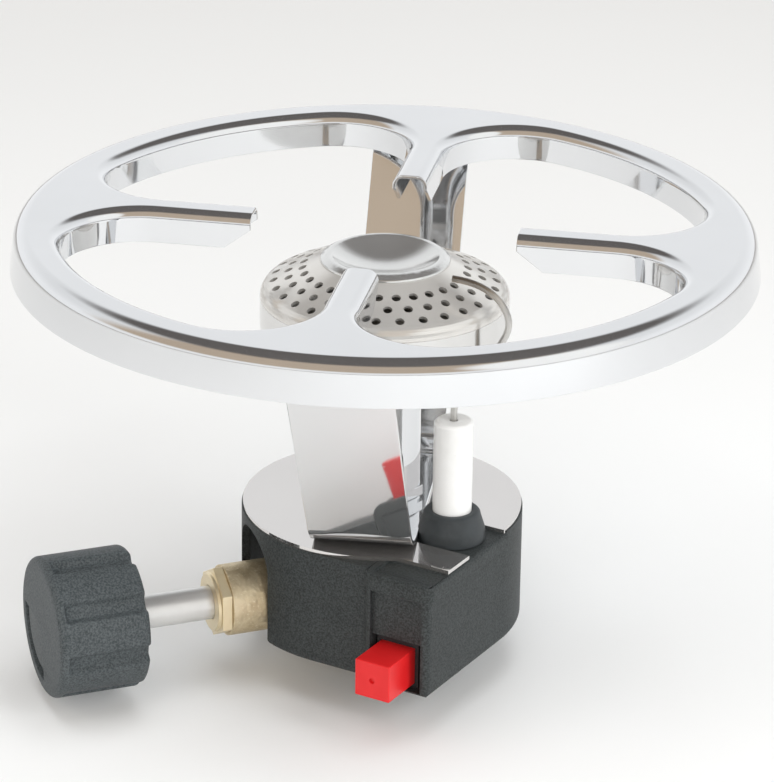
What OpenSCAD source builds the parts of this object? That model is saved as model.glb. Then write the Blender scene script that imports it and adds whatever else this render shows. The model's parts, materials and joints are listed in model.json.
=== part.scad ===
// Portable gas burner that screws onto a refillable cylinder.
// Height zero is the housing's lower edge, on the burner's own axis. The front ring finger points to -Y.

/* [Pan ring] */
// Outer diameter at the rim's lower edge
ring_d = 195; // [192:1:206]
// Height of the flat top above the housing's lower edge
ring_top = 112; // [108:0.5:125]
// Distance from a finger's middle to the centre of a window's corner
corner_y = 25; // [23:0.5:25.5]
// Thickness of the pressed sheet
sheet_t = 1; // [0.8:0.1:1.2]
// Depth of the outer rim
rim_depth = 11.5; // [8:0.5:15]
// Outward flare of the rim from top to bottom
rim_flare = 1; // [0.5:0.1:2]
// Radius of the rolled outer edge
rim_edge_r = 4; // [3:0.5:4.5]
// Radius of the rolled window edge
window_edge_r = 3; // [2:0.5:3.5]
// Depth of the flange round the windows
flange_depth = 9.3; // [7:0.1:10.5]
// Width of a finger over its flanges
finger_w = 9.5; // [8.5:0.5:12]
// Distance from the axis to a finger's tip
finger_tip_r = 35; // [30:1:40]
// Height of the flange at the very tip
tip_side_h = 4; // [3.5:0.1:5]
// Length of the slope from tip height to full flange
tip_slope_len = 7; // [5:0.5:10]

/* [Leg strap] */
// Width of the strap
strap_w = 26.9; // [24:0.1:28]
// Thickness of the strap
strap_t = 1.2; // [1:0.1:1.6]
// Inner radius of the strap's top bends
strap_bend_r = 3; // [2:0.1:4]
// Inner radius of the strap's wide foot bends
foot_bend_r = 17; // [10:0.5:20]
// Distance from the axis to the start of the foot bend
foot_r = 24.2; // [22:0.1:26]
// Turn of the strap away from the front finger
strap_turn = 3; // [0:0.5:4]
// Sideways offset of the strap from the axis
strap_shift = -0.9; // [-1.2:0.1:0]
// Distance of the leg's top bend inside the windows' long edges
leg_inset = 4; // [3:0.1:4]
// Length of the tab welded under the ring
tab_len = 5.5; // [3:0.5:8]
// Gap between the strap and its neighbours
strap_gap = 0.3; // [0.3:0.1:0.6]

/* [Plate] */
// Step of the round plate inside the housing's wall
plate_inset = 0.3; // [0:0.1:1.5]
// Thickness of the plate
plate_t = 1; // [0.8:0.1:1.5]
// Reach of the square tab towards the button
tab_reach = 30; // [27:0.5:34]
// Gap between the notch and the boot
notch_gap = 0.5; // [0.3:0.1:1]

/* [Housing] */
// Diameter of the round part
housing_d = 75; // [74:0.2:78]
// Height up to the plate
housing_h = 32; // [31:0.5:36]
// Wall thickness
wall_t = 2.2; // [1.8:0.1:2.6]
// Roof thickness
roof_t = 2; // [1.6:0.1:2.4]
// Rounding of the lower edge
base_edge_r = 2; // [1:0.1:2.2]
// Turn of the igniter box away from the front finger
box_turn = -20; // [-22:0.5:-18]
// Step of the box front beyond the round part
box_step = 2.5; // [1.5:0.5:5]
// Width of the box front
box_w = 19.5; // [18.5:0.5:21]
// Rounding of the box's upright edges
box_edge_r = 2; // [1:0.1:2.2]
// Thickness of the box floor
floor_t = 1; // [0.8:0.1:1.2]
// Depth of the panel above the button
panel_depth = 1.2; // [0.6:0.1:1.6]
// Height of the button's opening
opening_h = 13.5; // [13:0.5:16]
// Half width of the arched opening for the valve
arch_r = 10.3; // [9.9:0.1:11]

/* [Igniter cover] */
// Height of the cover
cover_h = 4.5; // [4:0.1:6]
// Overhang beyond the box walls
cover_over = 0.8; // [0.4:0.1:1]
// Rounding of the cover's edges
cover_edge_r = 1.4; // [0.8:0.1:1.8]
// Depth of the recess in the cover's top
cover_recess = 0.5; // [0.3:0.1:0.8]

/* [Igniter] */
// Side of the square button
button_w = 10.2; // [9.4:0.1:10.4]
// Reach of the button's face beyond the box front
button_out = 10; // [8:0.5:13]
// Travel of the button
button_travel = 6; // [4:0.5:6]
// Wall of the igniter's casing
casing_wall = 1; // [0.8:0.1:1.1]
// Distance of the igniter's centre from the side of the round part
igniter_side = 10.6; // [10.3:0.1:11.1]
// Gap between button and casing
button_gap = 0.1; // [0.06:0.02:0.1]
// Diameter of the hammer
hammer_d = 7; // [6:0.1:7.4]
// Travel of the hammer
hammer_travel = 4; // [3:0.5:4.5]
// Gap of the hammer in its bore
hammer_gap = 0.05; // [0.03:0.01:0.1]
// Wire of the return spring
return_wire = 0.7; // [0.5:0.1:0.8]
// Curls of the return spring
return_curls = 5; // [4:1:6]
// Wire of the hammer spring
striker_wire = 0.6; // [0.4:0.1:0.7]
// Curls of the hammer spring
striker_curls = 10; // [7:1:11]

/* [Electrode] */
// Distance of the electrode behind the axis plane of the button
electrode_a = 9.8; // [9:0.1:10.5]
// Diameter of the ceramic
ceramic_d = 10.3; // [9:0.1:10.6]
// Height of the ceramic's top
ceramic_top = 65.5; // [60:0.5:70]
// Diameter of the wire
wire_d = 1.8; // [1.4:0.1:2]
// Diameter of the boot at its foot
boot_d = 17.6; // [16.4:0.1:18]
// Height of the boot above the cover
boot_h = 8.4; // [7:0.1:10]
// Wall of the boot at its top
boot_wall = 2.4; // [1.8:0.1:2.8]

/* [Valve] */
// Direction of the valve, counted from +X
valve_turn = 211.5; // [208:0.5:214]
// Height of the valve's axis
valve_z = 10; // [9.6:0.1:11]
// Diameter of the valve's barrel
barrel_d = 19; // [18:0.1:19.2]
// Reach of the barrel beyond the round part
barrel_out = 7.5; // [5:0.1:8.5]
// Diameter of the upright column
column_d = 20; // [19:0.5:22]
// Diameter of the inlet thread
inlet_d = 16; // [14:0.5:17]
// Length of the inlet thread below the housing
inlet_len = 10; // [8:0.5:14]
// Pitch of the inlet thread
inlet_pitch = 1.5; // [1.25:0.25:2]
// Diameter of the thread at the column's top
stub_d = 14; // [12:0.5:15]
// Height of that thread above the washer
stub_h = 10; // [9.5:0.5:12]
// Bore of the stem's chamber
chamber_d = 10; // [9.6:0.1:10.6]
// Bore of the gas ways
gas_d = 3; // [2:0.1:3.4]

/* [Stem and knob] */
// Diameter of the stem
stem_d = 9; // [8:0.1:9.2]
// Running gap of the stem
stem_gap = 0.05; // [0.03:0.01:0.1]
// Size of the gland nut across flats
gland_af = 17; // [16:0.1:18]
// Length of the gland nut's hexagon
gland_hex = 2.8; // [2.5:0.1:5]
// Diameter of the gland nut's collar
collar_d = 15.6; // [13:0.1:16]
// Length of the gland nut's collar
collar_len = 1; // [0.6:0.1:3]
// Distance from the gland nut's end to the knob's back
knob_gap = 21.7; // [18:0.1:28]
// Diameter of the knob
knob_d = 37.5; // [34:0.5:41]
// Length of the knob
knob_len = 24.5; // [20:0.5:28]
// Number of grooves round the knob
knob_grooves = 8; // [6:1:10]
// Radius of a groove
groove_r = 2.6; // [2:0.1:3.4]
// Depth of a groove
groove_depth = 1.2; // [0.8:0.1:1.6]
// Turn of the grooves round the knob
groove_turn = 35; // [0:1:45]
// Width of the plain rim in front of the grooves
knob_rim = 3; // [2:0.1:5]
// Place of the face's arc mark, counted from straight down towards the right
mark_start = -85; // [-90:5:60]
// Rounding of the knob's edges
knob_edge_r = 1.5; // [1:0.1:2]

/* [Burner] */
// Outer diameter of the mixing tube
tube_d = 20; // [19:0.5:22]
// Wall of the mixing tube
tube_wall = 1; // [0.8:0.1:1.2]
// Diameter of an air hole
air_d = 8; // [5:0.5:9]
// Size of the tube nut across flats
nut_af = 19; // [18:0.5:21]
// Height of the tube nut's hexagon
nut_h = 3; // [2.5:0.5:6]
// Thickness of the lock washer
washer_t = 0.8; // [0.6:0.1:1.2]
// Diameter of the burner head
head_d = 65.4; // [60:0.2:68]
// Height of the seam between cup and cap
seam_z = 91; // [88:0.5:93]
// Depth of the cup below the seam
cup_depth = 20; // [17:0.5:22]
// Sheet of the burner head
head_t = 0.9; // [0.8:0.1:1.1]
// Slope of the perforated cone
cone_slope = 25; // [22:0.5:27]
// Radius of the cap's shoulder
shoulder_r = 4; // [3:0.1:5]
// Diameter of the dished crown
crown_d = 34; // [32:0.5:35]
// Depth of the crown's dish
dish_depth = 4; // [3:0.1:5]
// Diameter of a flame hole
flame_d = 2.4; // [2:0.1:2.6]
// Flame holes in one row
flame_count = 30; // [24:1:32]

/* [Hidden] */
$fn = 96;

// Small shared clearances and overlaps
slip = 0.1;
far = 400;
eps = 0.01;

// Pan ring
ring_r = ring_d / 2;
rim_top_r = ring_r - rim_flare;
flat_r = rim_top_r - rim_edge_r;
corner_r = corner_y - finger_w / 2;
// The corner's centre lies on a ray with the whole-number slope 5 in 12, so its distance is 13
corner_x = corner_y * 12 / 5;
window_r = corner_y * 13 / 5 + corner_r;
web_r = window_r + window_edge_r + 1;
ray = [4 * corner_x, 4 * corner_y];
flange_z = ring_top - flange_depth;
ring_under = ring_top - sheet_t;

// Heights of the clamped stack
plate_z = housing_h;
strap_z = plate_z + plate_t;
washer_z = strap_z + strap_t;
nut_z = washer_z + washer_t;
tube_z = nut_z + nut_h;
stub_top = washer_z + stub_h;
roof_z = housing_h - roof_t;
stub_hole_d = stub_d + 4 * slip;

// Leg strap
foot_c = [foot_r, washer_z + foot_bend_r];
top_c = [window_r - leg_inset, ring_under - strap_t - strap_bend_r];
leg_line = top_c - foot_c;
// The leg touches both bends, so the wider one turns it upright
leg_turn = atan2(leg_line[1], leg_line[0]) + asin((foot_bend_r - strap_bend_r) / norm(leg_line));
bend_steps = 8;

// Housing and igniter box
housing_r = housing_d / 2;
cavity_r = housing_r - wall_t;
box_front = housing_r + box_step;
box_x = housing_r - box_w;
cover_z = housing_h - cover_h;
opening_x = box_x + wall_t;
opening_w = box_w - 2 * wall_t;
partition_t = 1.6;
room_x = box_x + partition_t;
room_end = 9;
room_right = sqrt(pow(cavity_r, 2) - pow(room_end, 2));
arch_top = roof_z - arch_r;
cover_back = 1;

// Igniter, with its length counted forwards from the axis plane
igniter_x = housing_r - igniter_side;
button_reach = box_front + button_out;
casing_bore = button_w + 2 * button_gap;
casing_w = casing_bore + 2 * casing_wall;
igniter_z = floor_t + casing_w / 2;
casing_front = box_front - wall_t - 0.8;
casing_back = -5;
casing_step = 18;
tail_clear = 2;
tail_a = casing_step + button_travel + tail_clear;
return_d = 9;
return_seat = tail_a + 5;
striker_d = 4.8;
striker_seat = return_seat + 11;
hammer_tail = casing_step - 0.5;
hammer_len = 8;
hammer_nose = hammer_tail - hammer_len;
strike_gap = 0.3;
anvil_face = hammer_nose - hammer_travel - strike_gap;
anvil_t = 2.2;
crystal_d = hammer_d - 0.4;
contact_t = 0.5;
contact_w = 4;
contact_z = 18;
contact_front = electrode_a + contact_w / 2;

// Electrode
ceramic_foot = contact_z + 6;
boot_bore = ceramic_d / 2;
boot_neck_r = boot_bore + 1.2;
boot_top_r = boot_bore + boot_wall;
notch_r = boot_d / 2 + notch_gap;
electrode_xy = [
    igniter_x * cos(box_turn) + electrode_a * sin(box_turn),
    igniter_x * sin(box_turn) - electrode_a * cos(box_turn)
];
// Bent part of the wire: steps right, back and up from the ceramic's top
wire_steps = [
    [0, 0, 3], [0.8, 0.2, 6], [4, 0.8, 11], [9, 1.8, 17.5], [12.6, 2.6, 23.5], [13.2, 2.9, 27.5],
    [11.6, 3.3, 31.2], [8.9, 3.7, 34], [5.4, 4.1, 35.9], [1.6, 4.4, 36.9], [-1.9, 4.6, 37.3]
];

// Valve, with its length counted outwards from the burner's axis
seat_a = 10;
pad_lift = 0.3;
pad_t = 2;
pad_d = 8;
stem_nub_d = 3;
stem_nub_len = 1.2;
thread_a = seat_a + pad_lift + pad_t + pad_lift;
thread_len = 12;
packing_d = 12;
packing_t = 2;
gland_len = 8;
barrel_reach = housing_r + barrel_out;
packing_a = barrel_reach - gland_len - packing_t - slip;
gland_a = barrel_reach - gland_len;
hex_end = barrel_reach + gland_hex;
collar_end = hex_end + collar_len;
knob_reach = collar_end + knob_gap;
knob_end = knob_reach + knob_len;
stem_end = knob_end - 5;
flat_cut = 1.2;
flat_a = knob_reach + 4;
gasket_t = 1.5;
neck_d = inlet_d - 1;
gasket_d = inlet_d + 3.6;
inlet_bore = 6;

// Burner head
head_r = head_d / 2;
crown_r = crown_d / 2;
shoulder_z = seam_z + 0.2;
shoulder_c = [head_r - shoulder_r, shoulder_z];
cone_start = shoulder_c + shoulder_r * [sin(cone_slope), cos(cone_slope)];
cap_skirt_r = head_r - head_t - slip;
cap_skirt_h = 2.5;
cap_open_r = crown_r - 2.5;
row_gap = 3.75;
first_row_r = crown_r + 4.6;
hub_len = 6;
cup_z = seam_z - cup_depth;

function cone_z(r) = cone_start[1] + (cone_start[0] - r) * tan(cone_slope);
function arc(c, r, a0, a1, n) = [for (i = [0:n]) c + r * [cos(a0 + (a1 - a0) * i / n), sin(a0 + (a1 - a0) * i / n)]];

module in_box_frame() { rotate([0, 0, box_turn]) children(); }
module in_igniter_frame() { in_box_frame() translate([igniter_x, 0, igniter_z]) rotate([90, 0, 0]) children(); }
module in_valve_frame() { translate([0, 0, valve_z]) rotate([0, 0, valve_turn]) rotate([0, 90, 0]) children(); }
module on_electrode() { translate(electrode_xy) children(); }
module at(h) { translate([0, 0, h]) children(); }

module rod(d, from, to) { at(from) cylinder(d = d, h = to - from); }
module pipe(d_out, d_in, from, to) {
    difference() {
        rod(d_out, from, to);
        rod(d_in, from - eps, to + eps);
    }
}
module hexagon(af, from, to) { at(from) cylinder(d = af / cos(30), h = to - from, $fn = 6); }
module bar(w, from, to) { at((from + to) / 2) cube([w, w, to - from], center = true); }

// Flat polygon with rounded front corners, from the left front corner
module rounded_front(w, depth, r) {
    translate([r, 0]) square([w - 2 * r, r]);
    translate([0, r]) square([w, depth - r]);
    for (x = [r, w - r]) translate([x, r]) circle(r);
}

// Quarter of a round sheet edge
module quarter_edge(r) {
    difference() {
        intersection() {
            circle(r);
            square(r);
        }
        circle(r - sheet_t);
    }
}

// Section of the rolled window edge with its flange, with the flange's face at zero
module window_edge() {
    translate([0, flange_z]) square([sheet_t, flange_depth - window_edge_r]);
    translate([window_edge_r, ring_top - window_edge_r]) mirror([1, 0]) quarter_edge(window_edge_r);
}

module rim_fill(inset) {
    square([flat_r, ring_top - inset]);
    translate([flat_r, ring_top - rim_edge_r]) circle(rim_edge_r - inset);
    polygon([
        [0, ring_top - rim_edge_r], [rim_top_r - inset, ring_top - rim_edge_r],
        [ring_r - inset, ring_top - rim_depth], [0, ring_top - rim_depth]
    ]);
}

// Wedge from the axis between two directions, given as points far out
module wedge(from, to) { linear_extrude(2 * ring_top) polygon([[0, 0], from, to]); }

// A quarter of the rim, with its finger in the middle
module ring_rim() {
    intersection() {
        rotate_extrude() intersection() {
            difference() {
                rim_fill(0);
                rim_fill(sheet_t);
            }
            translate([web_r, ring_top - rim_depth]) square([far, far]);
        }
        wedge([far, -far], [far, far]);
    }
}

// Half of one window's long edge
module ring_window_band() {
    intersection() {
        rotate_extrude() {
            translate([window_r, 0]) window_edge();
            translate([window_r + window_edge_r, ring_top - sheet_t])
                square([web_r - window_r - window_edge_r, sheet_t]);
        }
        wedge(ray, [far, far]);
    }
}

module ring_web() {
    at(ring_top - sheet_t) linear_extrude(sheet_t) difference() {
        intersection() {
            circle(web_r);
            polygon([[corner_x, -corner_y], [ray[0], -ray[1]], ray, [corner_x, corner_y]]);
        }
        for (s = [-1, 1]) translate([corner_x, s * corner_y]) circle(corner_r + window_edge_r);
    }
}

module ring_corner() {
    intersection() {
        translate([corner_x, corner_y]) rotate_extrude() translate([corner_r, 0]) window_edge();
        linear_extrude(2 * ring_top) polygon([[corner_x, corner_y], [corner_x, 0], [ray[0], 0], ray]);
    }
}

module ring_finger() {
    difference() {
        translate([finger_tip_r, 0]) rotate([90, 0, 90]) linear_extrude(corner_x - finger_tip_r) {
            for (s = [0, 1]) mirror([s, 0]) translate([-finger_w / 2, 0]) window_edge();
            translate([window_edge_r - finger_w / 2, ring_top - sheet_t])
                square([finger_w - 2 * window_edge_r, sheet_t]);
        }
        translate([0, finger_w, 0]) rotate([90, 0, 0]) linear_extrude(2 * finger_w) polygon([
            [finger_tip_r - 1, ring_top - tip_side_h], [finger_tip_r, ring_top - tip_side_h],
            [finger_tip_r + tip_slope_len, flange_z], [finger_tip_r + tip_slope_len, flange_z - 1],
            [finger_tip_r - 1, flange_z - 1]
        ]);
    }
}

module ring_quarter() {
    union() {
        ring_rim();
        ring_web();
        ring_finger();
        for (s = [0, 1]) mirror([0, s, 0]) {
            ring_corner();
            ring_window_band();
        }
    }
}

module ring_half() {
    union() {
        ring_quarter();
        rotate([0, 0, 90]) ring_quarter();
    }
}

module pan_ring() {
    color("gainsboro") union() {
        ring_half();
        rotate([0, 0, 180]) ring_half();
    }
}

// One face of the strap's side view, from the foot bend to the end of the tab, that far outside the bends
function strap_face(out) = concat(
    arc(foot_c, foot_bend_r + out, -90, leg_turn - 90, bend_steps),
    arc(top_c, strap_bend_r + out, leg_turn - 90, 90, 2 * bend_steps),
    [top_c + [-tab_len, strap_bend_r + out]]
);
function turned_back(list) = [for (i = [len(list) - 1:-1:0]) list[i]];
function swapped(list) = [for (p = list) [-p[0], p[1]]];

module along_strap() { rotate([0, 0, strap_turn]) translate([strap_shift, 0, 0]) children(); }

// Space that the strap's level part needs
module strap_room() {
    room_w = strap_w + 2 * strap_gap;
    along_strap() translate([-room_w / 2, -foot_r, plate_z - 1])
        cube([room_w, 2 * foot_r, 1 + plate_t + strap_t + strap_gap]);
}

module leg_strap() {
    half = concat(strap_face(strap_t), turned_back(strap_face(0)));
    color("silver") difference() {
        along_strap() rotate([90, 0, 90]) linear_extrude(strap_w, center = true)
            polygon(concat(half, turned_back(swapped(half))));
        for (x = [-corner_y, corner_y], y = [-corner_x, corner_x]) translate([x, y, 0])
            rod(2 * (corner_r + window_edge_r + strap_gap), ring_top - window_edge_r, ring_top);
        rod(stub_hole_d, strap_z - 1, washer_z + 1);
    }
}

module top_plate() {
    color("silver") at(plate_z) difference() {
        linear_extrude(plate_t) difference() {
            union() {
                circle(housing_r - plate_inset);
                in_box_frame() translate([0, -tab_reach]) square([housing_r, tab_reach]);
            }
            in_box_frame() translate([igniter_x - notch_r, -electrode_a - notch_r]) square([far, 2 * notch_r]);
        }
        rod(stub_hole_d, -1, plate_t + 1);
    }
}

// Upright section of the housing's outside, with a rounded lower edge
module base_section(reach) {
    translate([0, base_edge_r]) square([reach, housing_h - base_edge_r]);
    square([reach - base_edge_r, housing_h]);
    translate([reach - base_edge_r, base_edge_r]) circle(base_edge_r);
}

module front_block(reach, from, to) {
    translate([from, 0, 0]) rotate([90, 0, 90]) linear_extrude(to - from) mirror([1, 0]) base_section(reach);
}

module housing_outside() {
    rotate_extrude(angle = 270) base_section(housing_r);
    intersection() {
        rotate([90, 0, 0]) linear_extrude(box_front) base_section(housing_r);
        union() {
            front_block(housing_r, 0, housing_r);
            intersection() {
                front_block(box_front, box_x, housing_r);
                translate([box_x, -box_front, 0]) linear_extrude(housing_h)
                    rounded_front(box_w, box_front, box_edge_r);
            }
        }
    }
}

// Space inside the housing round the valve
module valve_room() {
    difference() {
        union() {
            rod(2 * cavity_r, -1, roof_z);
            translate([0, -cavity_r, -1]) cube([cavity_r, cavity_r, roof_z + 1]);
        }
        translate([box_x, -far, -far]) cube([far, far + room_end + partition_t, 2 * far]);
    }
}

module igniter_room() {
    translate([room_x, wall_t + panel_depth - box_front, floor_t])
        cube([room_right - room_x, box_front - wall_t - panel_depth + room_end, roof_z - floor_t]);
}

module button_opening() {
    translate([opening_x, -far, floor_t]) cube([opening_w, far - box_front + 2 * wall_t + panel_depth, opening_h]);
    translate([opening_x, -far, floor_t]) cube([opening_w, far - box_front + panel_depth, cover_z]);
}

module arch_opening() {
    rotate([0, 0, valve_turn]) {
        translate([0, -arch_r, -1]) cube([far, 2 * arch_r, arch_top + 1]);
        translate([0, 0, arch_top]) rotate([0, 90, 0]) cylinder(r = arch_r, h = far);
    }
}

module housing() {
    color("#3a3d40") difference() {
        in_box_frame() difference() {
            housing_outside();
            valve_room();
            igniter_room();
            button_opening();
            translate([box_x - slip, -far, cover_z]) cube([far, far + cover_back + slip, far]);
        }
        arch_opening();
        rod(stub_hole_d, roof_z - 1, housing_h + 1);
    }
}

// Upright section of the cover's outside, with a rounded upper edge
module cover_section(reach) {
    square([reach, cover_h - cover_edge_r]);
    square([reach - cover_edge_r, cover_h]);
    translate([reach - cover_edge_r, cover_h - cover_edge_r]) circle(cover_edge_r);
}

module igniter_cover() {
    cover_w = box_w + cover_over;
    cover_front = box_front + cover_over;
    panel_in = cover_over + wall_t;
    color("#333639") difference() {
        in_box_frame() difference() {
            at(cover_z) intersection() {
                translate([0, cover_back, 0]) rotate([90, 0, 0])
                    linear_extrude(cover_front + cover_back) cover_section(housing_r + cover_over);
                translate([box_x, 0, 0]) rotate([90, 0, 90]) linear_extrude(cover_w) union() {
                    mirror([1, 0]) cover_section(cover_front);
                    square([cover_back, cover_h]);
                }
                translate([box_x, -cover_front, 0]) linear_extrude(cover_h)
                    rounded_front(cover_w, cover_front + cover_back, box_edge_r + cover_over);
            }
            translate([room_x, wall_t + panel_depth - box_front, cover_z - 1])
                cube([room_right - room_x, box_front - 2 * wall_t - panel_depth, cover_h - roof_t + 1]);
            translate([box_x + wall_t, panel_in - cover_front, housing_h - cover_recess])
                cube([box_w - wall_t, cover_front - panel_in - tab_reach - slip, 1]);
        }
        on_electrode() rod(2 * (boot_neck_r + slip), cover_z - 1, housing_h + 1);
    }
}

// Inlet thread as flat crests with grooves between, cut a little short of the shoulder
module inlet_thread() {
    groove_w = inlet_pitch / 2;
    groove_in = 0.6 * inlet_pitch;
    grooves = floor((inlet_len - 1.25 * inlet_pitch) / inlet_pitch);
    difference() {
        rod(inlet_d, -inlet_len, 0);
        for (i = [1:grooves]) at(-inlet_len + inlet_pitch * (i + 0.25))
            pipe(inlet_d + 2, inlet_d - 2 * groove_in, 0, groove_w);
    }
}

module valve_body() {
    color("#c8a558") difference() {
        union() {
            rod(column_d, gasket_t, roof_z);
            rod(stub_d, roof_z - eps, stub_top);
            inlet_thread();
            rod(neck_d, -eps, gasket_t + eps);
            in_valve_frame() rod(barrel_d, 0, barrel_reach);
        }
        pipe(gasket_d + 2 * slip, neck_d, 0, gasket_t);
        rod(inlet_bore, -inlet_len - 1, 0);
        rod(gas_d, valve_z, stub_top + 1);
        rod(inlet_bore, stub_top - inlet_bore, stub_top + 1);
        in_valve_frame() {
            rod(gas_d, 0, seat_a + 1);
            rod(chamber_d, seat_a, barrel_reach + 1);
            rod(packing_d + 2 * slip, packing_a, barrel_reach + 1);
        }
        rotate([0, 0, valve_turn]) at(-inlet_bore / 4) rotate([0, 90 - atan2(valve_z, seat_a + inlet_bore), 0])
            rod(gas_d, 0, norm([valve_z, seat_a + inlet_bore]));
    }
}

module inlet_gasket() { color("#202020") pipe(gasket_d, neck_d + 2 * slip, 0, gasket_t); }

module pusher_pin() {
    pin_d = 2.6;
    head_t = 2;
    head_z = -inlet_len / 2;
    color("silver") {
        rod(pin_d, -inlet_len - 1.5, head_z + eps);
        intersection() {
            rod(inlet_bore, head_z, head_z + head_t);
            at(head_z + head_t / 2) cube([pin_d + 1, inlet_bore, head_t], center = true);
        }
    }
}

module gland_nut() {
    color("#cdab5e") in_valve_frame() difference() {
        union() {
            rod(packing_d, gland_a, barrel_reach + eps);
            hexagon(gland_af, barrel_reach, hex_end);
            rod(collar_d, hex_end - eps, collar_end);
        }
        rod(stem_d + 2 * stem_gap, gland_a - 1, collar_end + 1);
    }
}

module gland_packing() {
    color("#e8e6df") in_valve_frame() pipe(packing_d, stem_d + 2 * stem_gap, packing_a, packing_a + packing_t);
}

module valve_stem() {
    color("#b9bbbd") in_valve_frame() difference() {
        union() {
            rod(stem_nub_d, thread_a - pad_lift - stem_nub_len, thread_a + eps);
            rod(chamber_d - 2 * stem_gap, thread_a, thread_a + thread_len);
            rod(stem_d, thread_a + thread_len - eps, stem_end);
        }
        translate([stem_d / 2 - flat_cut, -far / 2, flat_a]) cube([far, far, far]);
    }
}

module seat_pad() {
    color("#f0ede2") in_valve_frame() difference() {
        rod(pad_d, seat_a + pad_lift, seat_a + pad_lift + pad_t);
        rod(stem_nub_d + 2 * stem_gap, thread_a - 2 * pad_lift - stem_nub_len, thread_a);
    }
}

module knob_outside() {
    steps = 4;
    rim_r = knob_d / 2 - knob_edge_r;
    difference() {
        at(knob_reach) rotate_extrude() polygon(concat(
            [[0, 0]],
            arc([rim_r, knob_edge_r], knob_edge_r, -90, 0, steps),
            arc([rim_r, knob_len - knob_edge_r], knob_edge_r, 0, 90, steps),
            [[0, knob_len]]
        ));
        for (i = [0:knob_grooves - 1]) rotate([0, 0, groove_turn + 360 / knob_grooves * i])
            translate([knob_d / 2 - groove_depth + groove_r, 0, 0])
                rod(2 * groove_r, knob_reach - 1, knob_end - knob_rim);
    }
}

module knob() {
    hub_d = stem_d + 6;
    shell_t = 3;
    face_t = 4.5;
    mark_r = knob_d / 2 - 6;
    mark_w = 2;
    mark_depth = 0.6;
    mark_angle = 70;
    color("#404347") in_valve_frame() difference() {
        knob_outside();
        pipe(knob_d - 2 * groove_depth - 2 * shell_t, hub_d, knob_reach - 1, knob_end - face_t);
        difference() {
            rod(stem_d + 2 * stem_gap, knob_reach - 1, stem_end + slip);
            translate([stem_d / 2 - flat_cut + stem_gap, -far / 2, flat_a + slip]) cube([far, far, far]);
        }
        at(knob_end - mark_depth) rotate([0, 0, mark_start]) rotate_extrude(angle = mark_angle)
            translate([mark_r, 0]) square([mark_w, 1]);
    }
}

module gas_jet() {
    jet_af = 8;
    jet_hex = 3;
    jet_tip = 2;
    jet_hole = 0.8;
    color("#d0b060") difference() {
        union() {
            rod(inlet_bore - slip, stub_top - inlet_bore + 1, stub_top + eps);
            hexagon(jet_af, stub_top, stub_top + jet_hex);
            at(stub_top + jet_hex) cylinder(d1 = jet_af - 1, d2 = jet_af / 2, h = jet_tip);
        }
        rod(gas_d, stub_top - inlet_bore, stub_top + jet_hex);
        rod(jet_hole, stub_top, stub_top + jet_hex + jet_tip + 1);
    }
}

module lock_washer() { color("#a8a8a4") pipe(nut_af + 1, stub_hole_d, washer_z, nut_z); }

module tube_nut() {
    spigot_h = 4.5;
    color("#c8a558") difference() {
        union() {
            hexagon(nut_af, nut_z, tube_z);
            rod(tube_d - 2 * tube_wall - 2 * slip, tube_z - eps, tube_z + spigot_h);
        }
        rod(stub_d + 2 * slip, nut_z - 1, tube_z + spigot_h + 1);
    }
}

module mixing_tube() {
    air_z = stub_top + 8;
    color("#d8d8d6") difference() {
        pipe(tube_d, tube_d - 2 * tube_wall, tube_z, cup_z + hub_len / 2);
        rotate([90, 0, strap_turn]) translate([0, air_z]) cylinder(d = air_d, h = 2 * tube_d, center = true);
    }
}

module burner_cup() {
    hub_r = tube_d / 2;
    bowl_r = 7;
    steps = 8;
    bowl_c = [head_r - bowl_r, seam_z - bowl_r];
    bowl_in = bowl_r - head_t;
    color("#dcdcda") rotate_extrude() polygon(concat(
        [[hub_r, cup_z - hub_len / 2], [hub_r + head_t, cup_z - hub_len / 2], [hub_r + head_t, cup_z]],
        arc(bowl_c, bowl_r, -60, 0, steps),
        [[head_r, seam_z], [head_r - head_t, seam_z]],
        arc(bowl_c, bowl_in, 0, -60, steps),
        [[hub_r + head_t, cup_z + head_t * 2], [hub_r, cup_z + head_t * 2]]
    ));
}

module burner_cap() {
    skin = head_t / cos(cone_slope);
    skirt_in = cap_skirt_r - head_t;
    steps = 6;
    color("#d2d0cb") difference() {
        rotate_extrude() polygon(concat(
            [[skirt_in, seam_z - cap_skirt_h], [cap_skirt_r, seam_z - cap_skirt_h]],
            [[cap_skirt_r, seam_z], [head_r, seam_z]],
            arc(shoulder_c, shoulder_r, 0, 90 - cone_slope, steps),
            [[cap_open_r, cone_z(cap_open_r)], [cap_open_r, cone_z(cap_open_r) - skin]],
            [[skirt_in, cone_z(skirt_in) - skin]]
        ));
        for (row = [0:2], i = [0:flame_count - 1]) {
            r = first_row_r + row * row_gap;
            rotate([0, 0, 360 / flame_count * (i + row / 2)]) translate([r, 0, cone_z(r)])
                rotate([0, cone_slope, 0]) cylinder(d = flame_d, h = 4 * head_t, center = true, $fn = 24);
        }
    }
}

module burner_crown() {
    crest_r = crown_r - 2;
    dish_r = crest_r - 0.5;
    crest_z = cone_z(crest_r) + head_t;
    ball_r = (pow(dish_r, 2) + pow(dish_depth, 2)) / (2 * dish_depth);
    ball_a = asin(dish_r / ball_r);
    ball_c = [0, crest_z - dish_depth + ball_r];
    neck_r = cap_open_r - slip;
    neck_a = asin(neck_r / (ball_r + head_t));
    steps = 10;
    color("#d6d4d0") rotate_extrude() polygon(concat(
        arc(ball_c, ball_r, -90, -90 + ball_a, steps),
        [[crest_r, crest_z], [crown_r, cone_z(crown_r) + head_t * 0.8], [crown_r, cone_z(crown_r)]],
        [[neck_r, cone_z(neck_r)]],
        arc(ball_c, ball_r + head_t, -90 + neck_a, -90, steps)
    ));
}

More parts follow.
